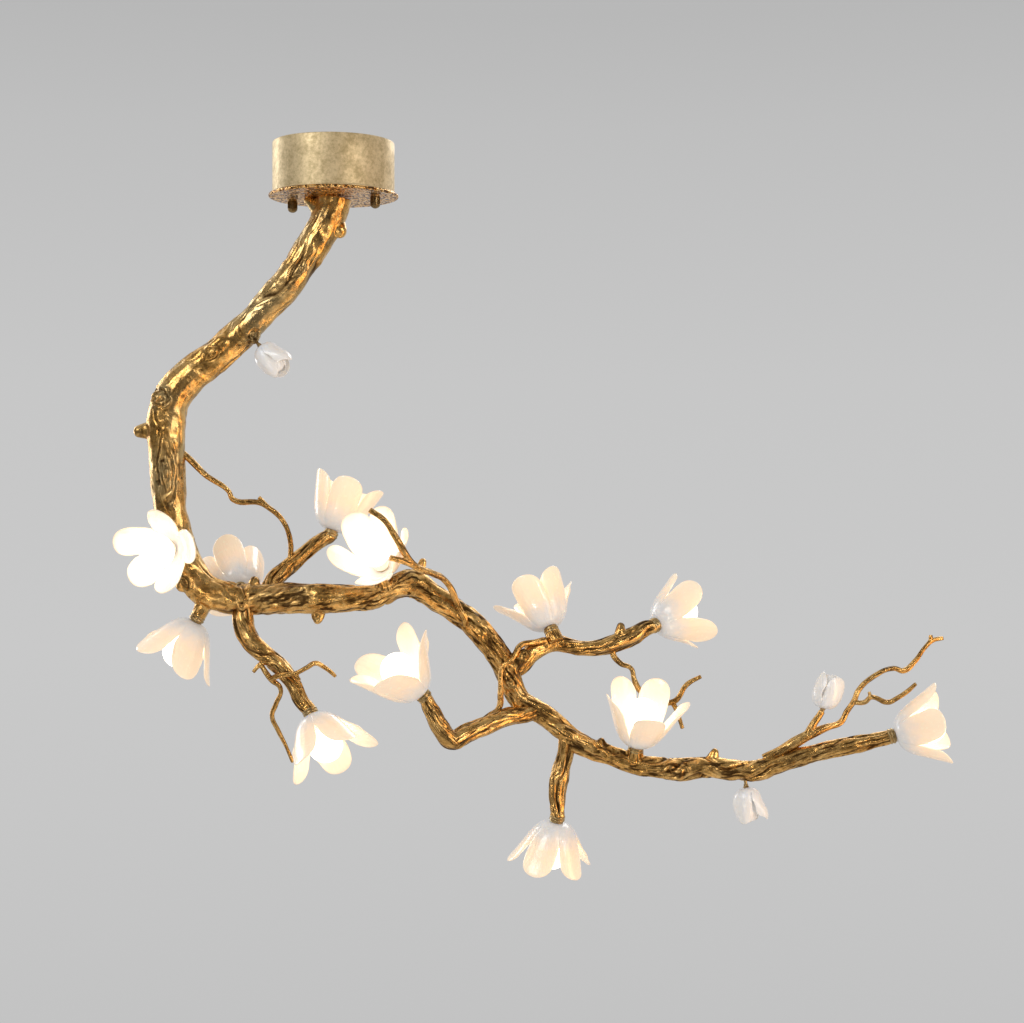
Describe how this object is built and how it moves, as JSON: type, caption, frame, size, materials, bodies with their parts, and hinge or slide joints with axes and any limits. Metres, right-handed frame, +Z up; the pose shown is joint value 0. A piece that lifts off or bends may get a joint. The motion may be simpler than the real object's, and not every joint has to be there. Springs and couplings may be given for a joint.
{
  "type": "chandelier",
  "caption": "Ceiling chandelier: a gnarled cast brass branch hangs from a round canopy and carries lit porcelain blossoms, closed buds and bare twigs.",
  "frame": {"origin": "centre of the canopy at the ceiling, on the flat of the ceiling bracket", "axes": "+Z up to the ceiling, +X to the right of the picture along the bough, +Y away from the viewer"},
  "size_m": [1.0359, 0.2926, 0.9259],
  "materials": {
    "cast_brass": "aged casting, rubbed bright on the ridges and dark in the grooves",
    "champagne_sheet": "satin champagne patina with faint mottling",
    "hammered_plate": "hammered, warm gold",
    "turned_brass": "turned, lightly aged",
    "zinc_steel": "zinc plated",
    "porcelain": "thin translucent glazed porcelain",
    "holder_ceramic": "matt white steatite",
    "opal_lamp": "opal, lit from within"
  },
  "bodies": {
    "fixture": {"ceiling_bracket": "zinc_steel", "bracket_studs": "zinc_steel", "stud_locknuts": "zinc_steel", "canopy_drum": "champagne_sheet", "canopy_plate": "hammered_plate", "canopy_nipple": "turned_brass", "nipple_washer": "zinc_steel", "nipple_nut": "zinc_steel", "terminal_block": "holder_ceramic", "earth_screw": "turned_brass", "trunk": "cast_brass", "bough": "cast_brass", "drooping_limb": "cast_brass", "back_limb": "cast_brass", "left_limb": "cast_brass", "right_limb": "cast_brass", "lower_limb": "cast_brass", "trunk_twig": "cast_brass", "front_fork": "cast_brass", "vine_twig": "cast_brass", "hanging_twig": "cast_brass", "back_twig": "cast_brass", "tip_twig": "cast_brass", "bud_1": "porcelain", "bud_2": "porcelain", "bud_3": "porcelain", "bud_pins": "turned_brass", "blossom_1": "porcelain", "blossom_2": "porcelain", "blossom_3": "porcelain", "blossom_4": "porcelain", "blossom_5": "porcelain", "blossom_6": "porcelain", "blossom_7": "porcelain", "blossom_8": "porcelain", "blossom_9": "porcelain", "blossom_10": "porcelain", "blossom_11": "porcelain", "blossom_12": "porcelain", "blossom_nipples": "turned_brass", "shade_rings": "turned_brass", "lampholders": "holder_ceramic"},
    "lamp_1_body": {"lamp_1": "opal_lamp"},
    "lamp_2_body": {"lamp_2": "opal_lamp"},
    "lamp_3_body": {"lamp_3": "opal_lamp"},
    "lamp_4_body": {"lamp_4": "opal_lamp"},
    "lamp_5_body": {"lamp_5": "opal_lamp"},
    "lamp_6_body": {"lamp_6": "opal_lamp"},
    "lamp_7_body": {"lamp_7": "opal_lamp"},
    "lamp_8_body": {"lamp_8": "opal_lamp"},
    "lamp_9_body": {"lamp_9": "opal_lamp"},
    "lamp_10_body": {"lamp_10": "opal_lamp"},
    "lamp_11_body": {"lamp_11": "opal_lamp"},
    "lamp_12_body": {"lamp_12": "opal_lamp"},
    "washer_left_body": {"stud_washer_left": "turned_brass"},
    "nut_left_body": {"cap_nut_left": "turned_brass"},
    "washer_right_body": {"stud_washer_right": "turned_brass"},
    "nut_right_body": {"cap_nut_right": "turned_brass"}
  },
  "joints": [
    {"name": "lamp_1_pull", "type": "slide", "parent": "fixture", "child": "lamp_1_body", "axis": [-0.2201, -0.9703, -0.1], "range_m": [0, 0.02]},
    {"name": "lamp_2_pull", "type": "slide", "parent": "fixture", "child": "lamp_2_body", "axis": [-0.2803, 0.9211, 0.2703], "range_m": [0, 0.02]},
    {"name": "lamp_3_pull", "type": "slide", "parent": "fixture", "child": "lamp_3_body", "axis": [-0.471, -0.02, -0.8819], "range_m": [0, 0.02]},
    {"name": "lamp_4_pull", "type": "slide", "parent": "fixture", "child": "lamp_4_body", "axis": [0.3098, 0.1999, 0.9295], "range_m": [0, 0.02]},
    {"name": "lamp_5_pull", "type": "slide", "parent": "fixture", "child": "lamp_5_body", "axis": [-0.2103, -0.8211, 0.5307], "range_m": [0, 0.02]},
    {"name": "lamp_6_pull", "type": "slide", "parent": "fixture", "child": "lamp_6_body", "axis": [-0.6492, -0.2996, 0.6991], "range_m": [0, 0.02]},
    {"name": "lamp_7_pull", "type": "slide", "parent": "fixture", "child": "lamp_7_body", "axis": [0.4315, -0.3914, -0.8128], "range_m": [0, 0.02]},
    {"name": "lamp_8_pull", "type": "slide", "parent": "fixture", "child": "lamp_8_body", "axis": [-0.3609, 0.4211, 0.8321], "range_m": [0, 0.02]},
    {"name": "lamp_9_pull", "type": "slide", "parent": "fixture", "child": "lamp_9_body", "axis": [0.7903, 0.5066, 0.3445], "range_m": [0, 0.02]},
    {"name": "lamp_10_pull", "type": "slide", "parent": "fixture", "child": "lamp_10_body", "axis": [0.1595, -0.339, 0.9272], "range_m": [0, 0.02]},
    {"name": "lamp_11_pull", "type": "slide", "parent": "fixture", "child": "lamp_11_body", "axis": [-0.1497, 0.1997, -0.9684], "range_m": [0, 0.02]},
    {"name": "lamp_12_pull", "type": "slide", "parent": "fixture", "child": "lamp_12_body", "axis": [0.9498, -0.14, 0.2799], "range_m": [0, 0.02]},
    {"name": "washer_left_drop", "type": "slide", "parent": "fixture", "child": "washer_left_body", "axis": [0, 0, -1], "range_m": [0, 0.0056]},
    {"name": "nut_left_turn", "type": "hinge", "parent": "washer_left_body", "child": "nut_left_body", "pos_m": [-0.05326, 0.01731, -0.0765], "axis": [0, 0, -1], "range_deg": [0, 2880]},
    {"name": "washer_right_drop", "type": "slide", "parent": "fixture", "child": "washer_right_body", "axis": [0, 0, -1], "range_m": [0, 0.0056]},
    {"name": "nut_right_turn", "type": "hinge", "parent": "washer_right_body", "child": "nut_right_body", "pos_m": [0.05326, -0.01731, -0.0765], "axis": [0, 0, -1], "range_deg": [0, 2880]}
  ],
  "couplings": [
    {"joint": "washer_left_drop", "follows": "nut_left_turn", "m_per_rad": 0.00011141},
    {"joint": "washer_right_drop", "follows": "nut_right_turn", "m_per_rad": 0.00011141}
  ]
}
